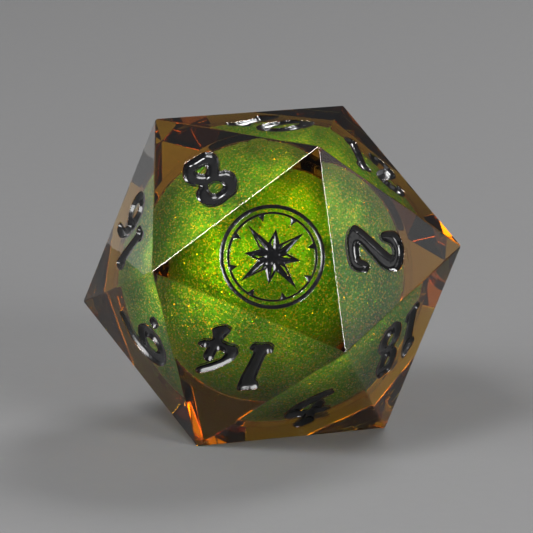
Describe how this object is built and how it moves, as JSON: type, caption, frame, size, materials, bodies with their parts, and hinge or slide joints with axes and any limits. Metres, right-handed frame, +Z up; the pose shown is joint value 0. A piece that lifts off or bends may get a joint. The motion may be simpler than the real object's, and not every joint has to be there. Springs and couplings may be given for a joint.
{
  "type": "polyhedral die",
  "caption": "Twenty-sided liquid-core die in amber resin, with inked numbers recessed in its faces and a shimmering green fill that turns inside a clear capsule.",
  "frame": {"origin": "centre of the face that the die rests on, at the ground", "axes": "+Z up, square to the resting face; +X towards a corner of the middle ring; the emblem face looks towards -Y and a little up"},
  "size_m": [0.0272, 0.0236, 0.022],
  "materials": {
    "amber_resin": "polished transparent amber resin with sharp edges",
    "clear_capsule": "clear moulded shell, index-matched to the resin",
    "port_plug": "cured clear adhesive",
    "shimmer_liquid": null,
    "gold_flake": "metallised film glitter",
    "green_flake": "metallised film glitter",
    "black_ink": "glossy black enamel, slightly dished in its recess"
  },
  "bodies": {
    "die": {"resin_lower_pour": "amber_resin", "resin_upper_pour": "amber_resin", "capsule_lower": "clear_capsule", "capsule_upper": "clear_capsule", "fill_plug": "port_plug", "ink_01": "black_ink", "ink_02": "black_ink", "ink_03": "black_ink", "ink_04": "black_ink", "ink_05": "black_ink", "ink_06": "black_ink", "ink_07": "black_ink", "ink_08": "black_ink", "ink_09": "black_ink", "ink_10": "black_ink", "ink_11": "black_ink", "ink_12": "black_ink", "ink_13": "black_ink", "ink_14": "black_ink", "ink_15": "black_ink", "ink_16": "black_ink", "ink_17": "black_ink", "ink_18": "black_ink", "ink_19": "black_ink", "ink_emblem": "black_ink"},
    "fill": {"shimmer_liquid": "shimmer_liquid", "gold_flakes": "gold_flake", "green_flakes": "green_flake"}
  },
  "joints": [
    {"name": "fill_swirl", "type": "hinge", "parent": "die", "child": "fill", "pos_m": [0, 0, 0.011], "axis": [0, 0, 1], "continuous": true}
  ]
}
